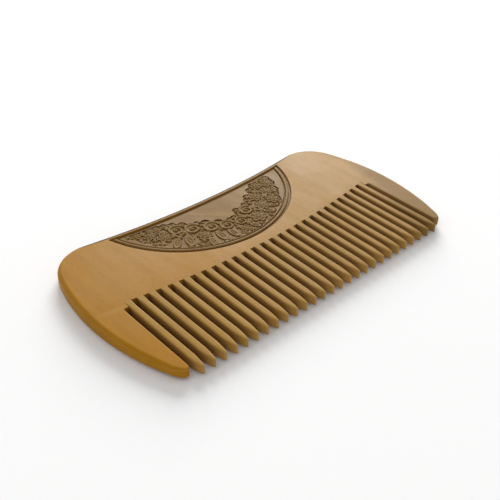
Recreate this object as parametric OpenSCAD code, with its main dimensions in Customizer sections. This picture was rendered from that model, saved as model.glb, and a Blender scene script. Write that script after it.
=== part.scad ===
// Decorative hair comb, laid flat.
// A carved back plate carries a row of separate teeth between two broad end guards.
// Every tooth and guard is glued into the lower edge of the back plate by its own tenon.
// A carved D-shaped inlay sits in a recess against the hollow back edge.
// X runs along the row of teeth, +Y points to the back edge and +Z is up.
// The origin is the centre of the footprint, on the resting plane.

/* [Comb] */
// Distance from the tooth tips to the top of the back, mm
overall_width = 57; // [50:1:70]
// Thickness of the back plate, mm
thickness = 4.5; // [3.6:0.1:6]
// Thickness of the teeth and guards at their tips, mm
tip_thickness = 2.7; // [2.4:0.1:3.4]
// Depth of the hollow in the back edge, mm
back_hollow = 3.2; // [2:0.1:5]
// Slope taken off the outer rim, mm
rim_bevel = 1; // [0.5:0.1:1.3]

/* [Outline] */
// Radius of the bulging ends, mm
side_radius = 68; // [55:1:85]
// Height of the widest place above the middle of the comb, mm
belly_height = 0.5; // [-2:0.5:3]
// Radius of the two upper corners, mm
corner_radius = 11.2; // [8:0.1:14]
// Radius of the two lower corners, mm
foot_radius = 7.5; // [5:0.1:9]

/* [Teeth] */
// Distance between tooth centres, mm
tooth_pitch = 3.4; // [2.9:0.1:4.1]
// Width of one tooth, mm
tooth_width = 1.9; // [1.6:0.1:2.3]
// Length of the middle tooth below the back plate, mm
tooth_length = 25.8; // [21:0.1:31]
// How far the root line has risen at the last tooth, mm
root_rise = 3.7; // [2:0.1:4.5]
// Length over which a tooth narrows to its tip, mm
taper_length = 4.2; // [3:0.1:6]
// Width of a tooth at its tip, mm
tip_width = 1.1; // [0.9:0.1:1.4]
// Slope taken off the long edges of a tooth, mm
tooth_bevel = 0.35; // [0.2:0.05:0.5]

/* [Guards] */
// Greatest width of an end guard, mm
guard_width = 8.3; // [7:0.1:10]
// How much shorter the outermost gap is, mm
end_gap_fill = 1.4; // [0.8:0.1:2]

/* [Joints] */
// Length of the tenons, mm
tenon_length = 3.2; // [2.6:0.1:3.8]
// Thickness of the tenons, mm
tenon_thickness = 2.2; // [1.6:0.1:2.4]
// Width of a tooth tenon, mm
tenon_width = 1.2; // [0.8:0.1:1.4]
// Glue gap round a tenon and round the inlay, mm
glue_gap = 0.1; // [0.05:0.05:0.15]

/* [Inlay] */
// Half the width of the inlay recess at the back edge, mm
panel_half_width = 33; // [28:0.5:35]
// Wood left between the middle tenon and the recess, mm
panel_margin = 0.4; // [0.3:0.1:2]
// Depth of the recess, mm
panel_depth = 0.8; // [0.6:0.1:1]
// Flat land kept between the bevel of the back edge and the recess, mm
back_land = 0.6; // [0.3:0.1:1]
// Width of the engraved grooves, mm
groove_width = 0.9; // [0.6:0.1:1.2]
// Width of the raised bead, mm
bead_width = 0.8; // [0.6:0.1:1.2]
// Number of rosettes in the garland
rosette_count = 13; // [9:2:17]
// Radius of one rosette, mm
rosette_radius = 2.5; // [2:0.1:3]

/* [Hidden] */
$fn = 48;
// Steps in the long arcs of the outline, the root line and the inlay
arc_steps = 360;
// Number of teeth, one node each
tooth_count = 27;
half_width = overall_width / 2;
slot_width = tooth_pitch - tooth_width;
guard_inner = tooth_count * tooth_pitch / 2 + slot_width / 2;
half_length = guard_inner + guard_width;
first_tooth = -(tooth_count - 1) / 2 * tooth_pitch;

// Centres of the arcs that make up the right half of the outline
belly_centre = [half_length - side_radius, belly_height];
corner_y = half_width - corner_radius;
corner_reach = side_radius - corner_radius;
corner_x = belly_centre.x + sqrt(pow(corner_reach, 2) - pow(corner_y - belly_height, 2));
corner_centre = [corner_x, corner_y];
foot_y = foot_radius - half_width;
foot_reach = side_radius - foot_radius;
foot_x = belly_centre.x + sqrt(pow(foot_reach, 2) - pow(foot_y - belly_height, 2));
foot_centre = [foot_x, foot_y];
hollow_drop = corner_radius - back_hollow;
hollow_radius = (pow(corner_x, 2) + pow(hollow_drop, 2) - pow(corner_radius, 2)) / (2 * back_hollow);
hollow_y = half_width - back_hollow + hollow_radius;

// Directions in which one arc hands over to the next
corner_start = atan2(corner_y - belly_height, corner_x - belly_centre.x);
foot_start = atan2(foot_y - belly_height, foot_x - belly_centre.x);
corner_end = atan2(hollow_y - corner_y, -corner_x);

// The root line is one long arc, lowest in the middle
root_y = tooth_length - half_width;
root_span = -first_tooth;
root_radius = (pow(root_span, 2) + pow(root_rise, 2)) / (2 * root_rise);
shoulder_y = root_y + root_rise + 1;
taper_angle = atan2((thickness - tip_thickness) / 2, shoulder_y + half_width);
tip_base = (thickness - tip_thickness) / 2;

// The recess is bounded by one arc below and by the rim of the hollow above
panel_low = root_y + tenon_length + panel_margin;
panel_high = hollow_y - sqrt(pow(hollow_radius, 2) - pow(panel_half_width, 2));
panel_drop = panel_high - panel_low;
panel_radius = (pow(panel_half_width, 2) + pow(panel_drop, 2)) / (2 * panel_drop);
panel_y = panel_low + panel_radius;
recess_floor = thickness - panel_depth;
inlay_base = panel_depth * 0.4;
field_inset = 2 * groove_width + bead_width;
garland_radius = panel_radius - field_inset - rosette_radius * 1.35;
garland_span = acos((panel_y - panel_high + 2 * rosette_radius) / garland_radius);
relief_depth = panel_depth * 0.35;
past = 1;
// Turn by which a corner piece reaches into its neighbours, so that they join as one solid
lap = 4;

// Height of the root line at a distance from the middle
function root_at(x) = root_y + root_radius - sqrt(pow(root_radius, 2) - pow(x, 2));

// A slice of a turned disc between two directions, tapering from one inset to another
module arc_sector(centre, radius, from_angle, to_angle, low, high, inset_low, inset_high) {
  far = 1.5 * radius;
  middle = (from_angle + to_angle) / 2;
  intersection() {
    translate([centre.x, centre.y, low])
      cylinder(h = high - low, r1 = radius - inset_low, r2 = radius - inset_high, $fn = arc_steps);
    translate([centre.x, centre.y, low])
      linear_extrude(high - low)
        polygon([
          [0, 0],
          [far * cos(from_angle), far * sin(from_angle)],
          [far * cos(middle), far * sin(middle)],
          [far * cos(to_angle), far * sin(to_angle)]
        ]);
  }
}

// One layer of the whole outline
module outline_layer(low, high, inset_low, inset_high) {
  crown = corner_centre + corner_radius * [cos(corner_end), sin(corner_end)];
  difference() {
    union() {
      translate([0, 0, low])
        linear_extrude(high - low)
          polygon([
            [-foot_x, -half_width], [foot_x, -half_width], foot_centre, corner_centre, crown,
            [-crown.x, crown.y], [-corner_x, corner_y], [-foot_x, foot_y]
          ]);
      for (side = [0, 1])
        mirror([side, 0, 0]) {
          arc_sector(belly_centre, side_radius, foot_start, corner_start, low, high, inset_low, inset_high);
          arc_sector(corner_centre, corner_radius, corner_start - lap, corner_end + lap,
            low, high, inset_low, inset_high);
          arc_sector(foot_centre, foot_radius, -90, foot_start, low, high, inset_low, inset_high);
        }
    }
    translate([0, hollow_y, low])
      cylinder(
        h = high - low, r1 = hollow_radius + inset_low, r2 = hollow_radius + inset_high, $fn = arc_steps
      );
  }
}

// Cross-section along Y: flat over the back plate, a slim wedge down to the tips
module wedge_section() {
  rotate([90, 0, 90])
    translate([0, 0, -half_length - past])
      linear_extrude(2 * (half_length + past))
        polygon([
          [-half_width - past, tip_base - past * tan(taper_angle)],
          [shoulder_y, 0],
          [half_width + past, 0],
          [half_width + past, thickness],
          [shoulder_y, thickness],
          [-half_width - past, thickness - tip_base + past * tan(taper_angle)]
        ]);
}

// The complete comb shape before it is divided
module blank() {
  intersection() {
    union() {
      outline_layer(0, rim_bevel, rim_bevel, 0);
      outline_layer(rim_bevel, thickness - rim_bevel, 0, 0);
      outline_layer(thickness - rim_bevel, thickness, 0, rim_bevel);
    }
    wedge_section();
  }
}

// Everything above the root line
module above_roots() {
  translate([0, root_y + root_radius, -past])
    cylinder(h = thickness + 2 * past, r = root_radius, $fn = 2 * arc_steps);
}

// A tenon standing on the root line, or its mortise when a gap is given
module tenon(x, width, gap) {
  base = root_at(abs(x) + width / 2) - past;
  translate([x - width / 2 - gap, base, (thickness - tenon_thickness) / 2 - gap])
    cube([width + 2 * gap, root_at(x) + tenon_length + gap - base, tenon_thickness + 2 * gap]);
}

// Recess outline drawn in by an inset all round
module panel_outline(inset) {
  difference() {
    translate([0, panel_y])
      circle(r = panel_radius - inset, $fn = arc_steps);
    translate([0, hollow_y])
      circle(r = hollow_radius + rim_bevel + back_land + inset, $fn = arc_steps);
  }
}

// Flat band between two insets of the recess outline
module panel_band(outer, inner) {
  difference() {
    panel_outline(outer);
    panel_outline(inner);
  }
}

module guard_tenon(side, gap) {
  tenon(side * (guard_inner + guard_width / 2), guard_width / 2, gap);
}

module back_plate() {
  color("#B98A4E")
    difference() {
      intersection() {
        blank();
        above_roots();
      }
      for (index = [0:tooth_count - 1])
        tenon(first_tooth + index * tooth_pitch, tenon_width, glue_gap);
      guard_tenon(-1, glue_gap);
      guard_tenon(1, glue_gap);
      translate([0, 0, recess_floor])
        linear_extrude(panel_depth + past)
          panel_outline(0);
    }
}

// One guard, with its tenon and the small fill that closes the outermost gap
module end_guard(side) {
  guard_end = half_length + past;
  fill_top = root_at(guard_inner);
  fill_width = slot_width - glue_gap;
  color("#B4833F")
    union() {
      difference() {
        intersection() {
          blank();
          translate([side > 0 ? guard_inner : -guard_end, -half_width - past, -past])
            cube([guard_end - guard_inner, overall_width, thickness + 2 * past]);
        }
        above_roots();
      }
      difference() {
        intersection() {
          wedge_section();
          translate([side > 0 ? guard_inner - fill_width : -guard_inner - past, 0, -past])
            translate([0, fill_top - root_rise / 4 - end_gap_fill, 0])
              cube([fill_width + past, end_gap_fill + root_rise, thickness + 2 * past]);
        }
        above_roots();
      }
      guard_tenon(side, 0);
    }
}

// Rounded five-petal flower standing on the sunken ground of the inlay
module rosette(radius, height) {
  petal = radius * 0.36;
  for (turn = [0:72:288])
    rotate(turn)
      translate([radius - petal, 0, 0])
        cylinder(h = height, r = petal, $fn = 24);
  cylinder(h = height * 1.3, r = radius * 0.3, $fn = 24);
}

// The garland: rosettes spaced along an arc that follows the lower edge of the inlay
module on_garland() {
  for (index = [0:rosette_count - 1]) {
    angle = -90 + garland_span * (2 * index / (rosette_count - 1) - 1);
    translate([garland_radius * cos(angle), panel_y + garland_radius * sin(angle), 0])
      rotate(angle)
        children();
  }
}

module panel_inlay() {
  field_top = panel_depth - 0.2;
  ground = field_top - relief_depth;
  color("#A9794A")
    translate([0, 0, recess_floor]) {
      linear_extrude(inlay_base)
        panel_outline(glue_gap);
      linear_extrude(panel_depth - 0.1)
        panel_band(groove_width, groove_width + bead_width);
      difference() {
        linear_extrude(field_top)
          panel_outline(field_inset);
        translate([0, 0, ground])
          on_garland()
            cylinder(h = panel_depth, r = rosette_radius * 1.15, $fn = 32);
      }
      intersection() {
        translate([0, 0, ground - relief_depth / 4])
          on_garland()
            rosette(rosette_radius, relief_depth);
        linear_extrude(2 * panel_depth)
          panel_outline(field_inset);
      }
    }
}

// Plan of one tooth with its tip at the origin
module tooth_plan(length) {
  tip = tip_width / 2;
  polygon([
    [-tooth_width / 2, length],
    [-tooth_width / 2, taper_length],
    [-tip, tip],
    [tip, tip],
    [tooth_width / 2, taper_length],
    [tooth_width / 2, length]
  ]);
  translate([0, tip])
    circle(r = tip, $fn = 32);
}

// Long prism with sloped upper edges, tilted to follow the wedge
module tooth_crown() {
  reach = overall_width;
  flat = tooth_width / 2 - tooth_bevel;
  translate([0, shoulder_y, thickness])
    rotate([90 + taper_angle, 0, 0])
      translate([0, 0, -reach / 4])
        linear_extrude(2 * reach)
          polygon([
            [-flat, 0],
            [-flat - past, -past],
            [-flat - past, -3 * thickness],
            [flat + past, -3 * thickness],
            [flat + past, -past],
            [flat, 0]
          ]);
}

// One tooth, cut off along the root line, with its tenon
module tooth(index) {
  x = first_tooth + (index - 1) * tooth_pitch;
  color(index % 2 == 0 ? "#B78B49" : "#BC8F50")
    union() {
      difference() {
        translate([x, 0, 0])
          intersection() {
            translate([0, -half_width, -past])
              linear_extrude(thickness + 2 * past)
                tooth_plan(tooth_length + root_rise + past);
            tooth_crown();
            translate([0, 0, thickness])
              mirror([0, 0, 1])
                tooth_crown();
          }
        above_roots();
      }
      tenon(x, tenon_width, 0);
    }
}

back_plate();
panel_inlay();
end_guard(-1);  // end_guard_left
end_guard(1);  // end_guard_right
tooth(1);  // tooth_01
tooth(2);  // tooth_02
tooth(3);  // tooth_03
tooth(4);  // tooth_04
tooth(5);  // tooth_05
tooth(6);  // tooth_06
tooth(7);  // tooth_07
tooth(8);  // tooth_08
tooth(9);  // tooth_09
tooth(10);  // tooth_10
tooth(11);  // tooth_11
tooth(12);  // tooth_12
tooth(13);  // tooth_13
tooth(14);  // tooth_14
tooth(15);  // tooth_15
tooth(16);  // tooth_16
tooth(17);  // tooth_17
tooth(18);  // tooth_18
tooth(19);  // tooth_19
tooth(20);  // tooth_20
tooth(21);  // tooth_21
tooth(22);  // tooth_22
tooth(23);  // tooth_23
tooth(24);  // tooth_24
tooth(25);  // tooth_25
tooth(26);  // tooth_26
tooth(27);  // tooth_27
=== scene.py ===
"""Finished look of a carved wooden hair comb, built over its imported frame.

Each piece is modelled on a bench in millimetres, brought to metres and left at the origin.
X runs along the row of teeth, +Y points to the back edge and +Z is up.
"""

import logging
import math
import random
from collections.abc import Callable, Iterable, Sequence
from dataclasses import dataclass, field, replace
from enum import Enum

import bpy
import numpy as np
from mathutils import Matrix, Vector


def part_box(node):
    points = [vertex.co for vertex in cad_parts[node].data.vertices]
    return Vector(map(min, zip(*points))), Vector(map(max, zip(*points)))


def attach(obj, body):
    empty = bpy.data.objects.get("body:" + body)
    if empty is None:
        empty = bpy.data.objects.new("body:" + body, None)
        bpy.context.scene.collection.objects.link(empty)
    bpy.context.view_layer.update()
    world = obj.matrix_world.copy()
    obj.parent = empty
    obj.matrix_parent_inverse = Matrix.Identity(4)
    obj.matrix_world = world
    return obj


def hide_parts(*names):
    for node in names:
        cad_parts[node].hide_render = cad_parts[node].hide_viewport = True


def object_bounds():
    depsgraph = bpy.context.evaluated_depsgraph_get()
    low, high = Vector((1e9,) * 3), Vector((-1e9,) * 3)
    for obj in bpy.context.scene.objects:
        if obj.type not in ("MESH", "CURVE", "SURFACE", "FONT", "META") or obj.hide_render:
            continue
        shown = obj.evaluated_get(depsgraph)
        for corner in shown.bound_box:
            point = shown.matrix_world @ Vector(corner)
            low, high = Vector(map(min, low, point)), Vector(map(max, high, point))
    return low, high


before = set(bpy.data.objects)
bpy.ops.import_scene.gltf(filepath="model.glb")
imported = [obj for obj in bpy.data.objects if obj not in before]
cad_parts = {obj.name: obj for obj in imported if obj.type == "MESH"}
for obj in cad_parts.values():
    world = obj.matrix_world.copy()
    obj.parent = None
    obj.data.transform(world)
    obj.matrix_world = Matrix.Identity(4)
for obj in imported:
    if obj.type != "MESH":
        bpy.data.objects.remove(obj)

CAD_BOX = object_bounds()
MM = 0.001
SMOOTH_ANGLE = math.radians(38)
LOG = logging.getLogger("comb")

Ring = list[tuple[float, float, float]]


class Slot(Enum):
    """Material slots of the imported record."""

    BACK = "back_wood"
    TOOTH = "tooth_wood"
    GUARD = "guard_wood"
    INLAY = "inlay_wood"


class Side(Enum):
    """The two ends of the comb."""

    LEFT = -1
    RIGHT = 1


class Motif(Enum):
    """Carved elements of the garland."""

    BLOSSOM = "blossom"
    SCROLL = "scroll"
    LEAF = "leaf"
    BERRY = "berry"


# ---------------------------------------------------------------- bench work


class Bench:
    """Mesh work in millimetres on one piece at a time."""

    @staticmethod
    def clear() -> None:
        """Leave edit mode and deselect everything."""
        if bpy.context.object and bpy.context.object.mode != "OBJECT":
            bpy.ops.object.mode_set(mode="OBJECT")
        bpy.ops.object.select_all(action="DESELECT")

    @staticmethod
    def take(name: str) -> bpy.types.Object:
        """Name the primitive that was just added and return it.

        Args:
            name: The name for the piece and its mesh.

        Returns:
            The active piece, under its new name.
        """
        piece = bpy.context.active_object
        piece.name = name
        piece.data.name = name
        return piece

    @staticmethod
    def pick(piece: bpy.types.Object) -> None:
        """Select one piece alone and make it active.

        Args:
            piece: The piece to select.
        """
        Bench.clear()
        piece.select_set(True)
        bpy.context.view_layer.objects.active = piece

    @staticmethod
    def points(piece: bpy.types.Object) -> np.ndarray:
        """Return the piece's vertex places as rows of x, y, z.

        Args:
            piece: The piece to read.

        Returns:
            One row for each vertex.
        """
        places = np.empty(len(piece.data.vertices) * 3)
        piece.data.vertices.foreach_get("co", places)
        return places.reshape(-1, 3)

    @staticmethod
    def place(piece: bpy.types.Object, places: np.ndarray) -> None:
        """Set the piece's vertex places."""
        piece.data.vertices.foreach_set("co", np.ascontiguousarray(places).ravel())
        piece.data.update()

    @staticmethod
    def select_edges(piece: bpy.types.Object, wanted: Callable[[Vector, Vector], bool]) -> None:
        """Select the edges whose two ends satisfy a test, then enter edit mode.

        Args:
            piece: The mesh to select on.
            wanted: Test that takes the places of an edge's two ends.
        """
        Bench.pick(piece)
        bpy.context.tool_settings.mesh_select_mode = (False, True, False)
        mesh = piece.data
        ends = [mesh.vertices[index].co for edge in mesh.edges for index in edge.vertices]
        chosen = [wanted(ends[2 * i], ends[2 * i + 1]) for i in range(len(mesh.edges))]
        touched = {v for edge, hit in zip(mesh.edges, chosen) if hit for v in edge.vertices}
        mesh.polygons.foreach_set("select", [False] * len(mesh.polygons))
        mesh.vertices.foreach_set("select", [v.index in touched for v in mesh.vertices])
        mesh.edges.foreach_set("select", chosen)
        bpy.ops.object.mode_set(mode="EDIT")

    @staticmethod
    def select_faces(piece: bpy.types.Object, wanted: Callable[[Vector, Vector], bool]) -> None:
        """Select the faces whose centre and normal satisfy a test, then enter edit mode.

        Args:
            piece: The mesh to select on.
            wanted: Test that takes a face's centre and its normal.
        """
        Bench.pick(piece)
        bpy.context.tool_settings.mesh_select_mode = (False, False, True)
        mesh = piece.data
        chosen = [wanted(face.center, face.normal) for face in mesh.polygons]
        touched = {v for face, hit in zip(mesh.polygons, chosen) if hit for v in face.vertices}
        mesh.vertices.foreach_set("select", [v.index in touched for v in mesh.vertices])
        inside = [all(v in touched for v in edge.vertices) for edge in mesh.edges]
        mesh.edges.foreach_set("select", inside)
        mesh.polygons.foreach_set("select", chosen)
        bpy.ops.object.mode_set(mode="EDIT")

    @staticmethod
    def loft(name: str, rings: Sequence[Ring]) -> bpy.types.Object:
        """Build a closed solid whose wall passes through level rings of equal length.

        A cylinder is added with as many sides as a ring has places, its upright edges are
        subdivided, and each level is moved onto its ring.

        Args:
            name: Name of the new piece.
            rings: Rings from the lowest to the highest, each running anticlockwise.

        Returns:
            The new piece.
        """
        sides = len(rings[0])
        levels = len(rings)
        Bench.clear()
        bpy.ops.mesh.primitive_cylinder_add(
            vertices=sides, radius=1, depth=1, end_fill_type="NGON", location=(0, 0, 0)
        )
        piece = Bench.take(name)
        if levels > 2:
            Bench.select_edges(piece, lambda a, b: abs(a.z - b.z) > 0.5)
            bpy.ops.mesh.subdivide(number_cuts=levels - 2)
            bpy.ops.object.mode_set(mode="OBJECT")
        start = Bench.points(piece)
        level = np.rint((start[:, 2] + 0.5) * (levels - 1)).astype(int)
        turn = np.arctan2(start[:, 1], start[:, 0]) / (2 * math.pi) * sides
        along = np.floor(turn + 0.1).astype(int) % sides
        Bench.place(piece, np.asarray(rings, float)[level, along])
        return piece

    @staticmethod
    def slice(piece: bpy.types.Object, axis: int, cuts: Iterable[float]) -> None:
        """Cut the piece's faces along planes across one axis, leaving it whole.

        Args:
            piece: The mesh to cut.
            axis: 0 for X, 1 for Y or 2 for Z.
            cuts: Places of the planes along that axis.
        """
        normal = [0.0, 0.0, 0.0]
        normal[axis] = 1.0
        Bench.pick(piece)
        bpy.ops.object.mode_set(mode="EDIT")
        for cut in cuts:
            bpy.ops.mesh.select_all(action="SELECT")
            bpy.ops.mesh.bisect(plane_co=[cut * part for part in normal], plane_no=normal)
        bpy.ops.object.mode_set(mode="OBJECT")

    @staticmethod
    def block(name: str, low: Sequence[float], high: Sequence[float]) -> bpy.types.Object:
        """Add a plain block between two corners, for joints and cutters.

        Args:
            name: The name for the block.
            low: Its lowest corner.
            high: Its highest corner.

        Returns:
            The block.
        """
        size = [b - a for a, b in zip(low, high)]
        middle = [(a + b) / 2 for a, b in zip(low, high)]
        Bench.clear()
        bpy.ops.mesh.primitive_cube_add(size=1, location=middle, scale=size)
        piece = Bench.take(name)
        bpy.ops.object.transform_apply(location=True, rotation=True, scale=True)
        return piece

    @staticmethod
    def copy(piece: bpy.types.Object, name: str) -> bpy.types.Object:
        """Return a copy of a piece with a mesh of its own.

        Args:
            piece: The piece to copy.
            name: The name for the copy.

        Returns:
            The copy.
        """
        twin = piece.copy()
        twin.data = piece.data.copy()
        twin.name = name
        twin.data.name = name
        bpy.context.scene.collection.objects.link(twin)
        return twin

    @staticmethod
    def discard(piece: bpy.types.Object) -> None:
        """Remove a piece and its mesh.

        Args:
            piece: The piece to remove.
        """
        mesh = piece.data
        bpy.data.objects.remove(piece)
        bpy.data.meshes.remove(mesh)

    @staticmethod
    def join(name: str, pieces: Sequence[bpy.types.Object]) -> bpy.types.Object:
        """Join several pieces into the first and return it.

        Args:
            name: The name for the joined piece.
            pieces: The pieces to join.

        Returns:
            The joined piece.
        """
        Bench.clear()
        for piece in pieces:
            piece.select_set(True)
        bpy.context.view_layer.objects.active = pieces[0]
        bpy.ops.object.join()
        return Bench.take(name)

    @staticmethod
    def combine(piece: bpy.types.Object, tool: bpy.types.Object, operation: str) -> None:
        """Apply an exact Boolean with a tool piece, and discard the tool.

        Args:
            piece: The piece that stays.
            tool: The piece that is added or taken away.
            operation: UNION or DIFFERENCE.
        """
        Bench.pick(piece)
        modifier = piece.modifiers.new("joinery", "BOOLEAN")
        modifier.operation = operation
        modifier.solver = "EXACT"
        modifier.use_self = True
        modifier.object = tool
        bpy.ops.object.modifier_apply(modifier=modifier.name)
        Bench.discard(tool)

    @staticmethod
    def fuse(piece: bpy.types.Object, grain: float, passes: int) -> None:
        """Melt overlapping shells into one skin and soften it.

        Args:
            piece: The joined shells.
            grain: Voxel size in millimetres.
            passes: Smoothing passes.
        """
        Bench.pick(piece)
        remesh = piece.modifiers.new("one_skin", "REMESH")
        remesh.mode = "VOXEL"
        remesh.voxel_size = grain
        bpy.ops.object.modifier_apply(modifier=remesh.name)
        soften = piece.modifiers.new("soften", "SMOOTH")
        soften.factor = 0.5
        soften.iterations = passes
        bpy.ops.object.modifier_apply(modifier=soften.name)

    @staticmethod
    def weld(piece: bpy.types.Object, reach: float = 0.002) -> None:
        """Merge doubled vertices and turn every face outwards.

        Args:
            piece: The piece to weld.
            reach: Vertices closer than this, in millimetres, are merged.
        """
        Bench.pick(piece)
        bpy.ops.object.mode_set(mode="EDIT")
        bpy.ops.mesh.select_all(action="SELECT")
        bpy.ops.mesh.remove_doubles(threshold=reach)
        bpy.ops.mesh.normals_make_consistent(inside=False)
        bpy.ops.object.mode_set(mode="OBJECT")

    @staticmethod
    def finish(piece: bpy.types.Object, angle: float = SMOOTH_ANGLE) -> bpy.types.Object:
        """Bring a piece to metres and give it smooth shading that favours its broad faces.

        Args:
            piece: The finished mesh, in millimetres.
            angle: Edges sharper than this stay crisp.

        Returns:
            The same piece.
        """
        Bench.pick(piece)
        piece.scale = (MM, MM, MM)
        bpy.ops.object.transform_apply(location=True, rotation=True, scale=True)
        bpy.ops.object.shade_smooth_by_angle(angle=angle)
        weighted = piece.modifiers.new("broad_faces", "WEIGHTED_NORMAL")
        weighted.keep_sharp = True
        bpy.ops.object.modifier_apply(modifier=weighted.name)
        return piece


# ---------------------------------------------------------------- plan of the comb


def rim_inset(depth: float, radius: float) -> float:
    """Return how far a rounded rim draws in at a depth below its face.

    Args:
        depth: Depth below the face, in millimetres.
        radius: Radius of the rim, in millimetres.

    Returns:
        The inset in millimetres, none from one radius down.
    """
    if depth >= radius:
        return 0.0
    return radius - math.sqrt(radius**2 - (radius - depth) ** 2)


@dataclass(frozen=True)
class Plan:
    """Plan of the comb in millimetres: sizes read from the frame and the arcs between them."""

    half_length: float
    half_width: float
    thickness: float
    pitch: float
    tooth_width: float
    tooth_count: int
    first_tooth: float
    root_y: float
    root_radius: float
    guard_inner: float
    side_radius: float = 68.0
    belly_height: float = 0.5
    corner_radius: float = 11.2
    foot_radius: float = 7.5
    back_hollow: float = 3.2
    tenon_length: float = 3.2
    tenon_thickness: float = 2.2
    tenon_width: float = 1.2
    glue_gap: float = 0.1
    tip_drop: float = 0.9
    shoulder_rise: float = 2.25
    shoulder_drop: float = 0.04
    shoulder_length: float = 4.5

    @classmethod
    def from_frame(cls, tenon_length: float = 3.2, tooth_count: int = 27) -> "Plan":
        """Read the comb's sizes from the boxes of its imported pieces.

        Args:
            tenon_length: How far a tooth's box reaches past the root line.
            tooth_count: Number of teeth in the row.

        Returns:
            The plan.
        """
        first = [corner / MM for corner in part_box("tooth_01")]
        middle = [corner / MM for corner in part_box(f"tooth_{(tooth_count + 1) // 2:02d}")]
        last = [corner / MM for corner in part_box(f"tooth_{tooth_count:02d}")]
        high = CAD_BOX[1] / MM
        span = (last[0].x + last[1].x) / 2
        pitch = 2 * span / (tooth_count - 1)
        width = first[1].x - first[0].x
        root_y = middle[1].y - tenon_length
        rise = last[1].y - middle[1].y
        return cls(
            half_length=high.x,
            half_width=high.y,
            thickness=high.z,
            pitch=pitch,
            tooth_width=width,
            tooth_count=tooth_count,
            first_tooth=-span,
            root_y=root_y,
            root_radius=(span**2 + rise**2) / (2 * rise),
            guard_inner=tooth_count * pitch / 2 + (pitch - width) / 2,
        )

    @property
    def slot_width(self) -> float:
        """Width of the gap between two teeth."""
        return self.pitch - self.tooth_width

    @property
    def belly(self) -> Vector:
        """Centre of the arc along the right end."""
        return Vector((self.half_length - self.side_radius, self.belly_height))

    @property
    def corner(self) -> Vector:
        """Centre of the upper right corner.

        Returns:
            Its place in the plan.
        """
        y = self.half_width - self.corner_radius
        reach = self.side_radius - self.corner_radius
        return Vector((self.belly.x + math.sqrt(reach**2 - (y - self.belly.y) ** 2), y))

    @property
    def foot(self) -> Vector:
        """Centre of the lower right corner.

        Returns:
            Its place in the plan.
        """
        y = self.foot_radius - self.half_width
        reach = self.side_radius - self.foot_radius
        return Vector((self.belly.x + math.sqrt(reach**2 - (y - self.belly.y) ** 2), y))

    @property
    def hollow_radius(self) -> float:
        """Radius of the hollow back edge.

        Returns:
            The radius in millimetres.
        """
        drop = self.corner_radius - self.back_hollow
        reach = self.corner.x**2 + drop**2 - self.corner_radius**2
        return reach / (2 * self.back_hollow)

    @property
    def hollow_y(self) -> float:
        """Height of the centre of the hollow."""
        return self.half_width - self.back_hollow + self.hollow_radius

    def root_at(self, x: float) -> float:
        """Return the height of the root line at a distance from the middle."""
        return self.root_y + self.root_radius - math.sqrt(self.root_radius**2 - x**2)

    def root_slide(self, x: float, inward: Vector) -> Vector:
        """Return the step along the root line that moves a rim inwards by one.

        Args:
            x: Place where the rim meets the root line.
            inward: The rim's own inward direction there.

        Returns:
            The step towards the middle of the comb.
        """
        slope = x / math.sqrt(self.root_radius**2 - x**2)
        step = Vector((-math.copysign(1.0, x), -math.copysign(1.0, x) * slope)).normalized()
        return step / step.dot(inward)

    def side_meets_root(self) -> float:
        """Find the direction from the belly's centre to where the end meets the root line.

        Returns:
            The direction in radians, for the right end.
        """
        low, high = -0.3, 0.3
        for _ in range(60):
            middle = (low + high) / 2
            x = self.belly.x + self.side_radius * math.cos(middle)
            y = self.belly.y + self.side_radius * math.sin(middle)
            if y < self.root_at(x):
                low = middle
            else:
                high = middle
        return low

    def thin(self, places: np.ndarray) -> np.ndarray:
        """Thin both faces towards the tips, below a soft shoulder that follows the root line.

        Args:
            places: Rows of x, y, z on a piece of even thickness.

        Returns:
            The places on the thinned piece.
        """
        x, y, z = places.T
        root = self.root_y + self.root_radius - np.sqrt(self.root_radius**2 - x**2)
        shoulder = root + self.shoulder_rise
        below = np.maximum(shoulder - y, 0)
        share = np.clip(below / self.shoulder_length, 0, 1)
        step = self.shoulder_drop * share**2 * (3 - 2 * share)
        run = below**2 / (below + 2)
        whole = (shoulder + self.half_width) ** 2 / (shoulder + self.half_width + 2)
        drop = step + (self.tip_drop - self.shoulder_drop) * run / whole
        middle = self.thickness / 2
        lean = (z - middle) * (1 - drop / middle) + middle
        return np.column_stack((x, y, lean))


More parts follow.
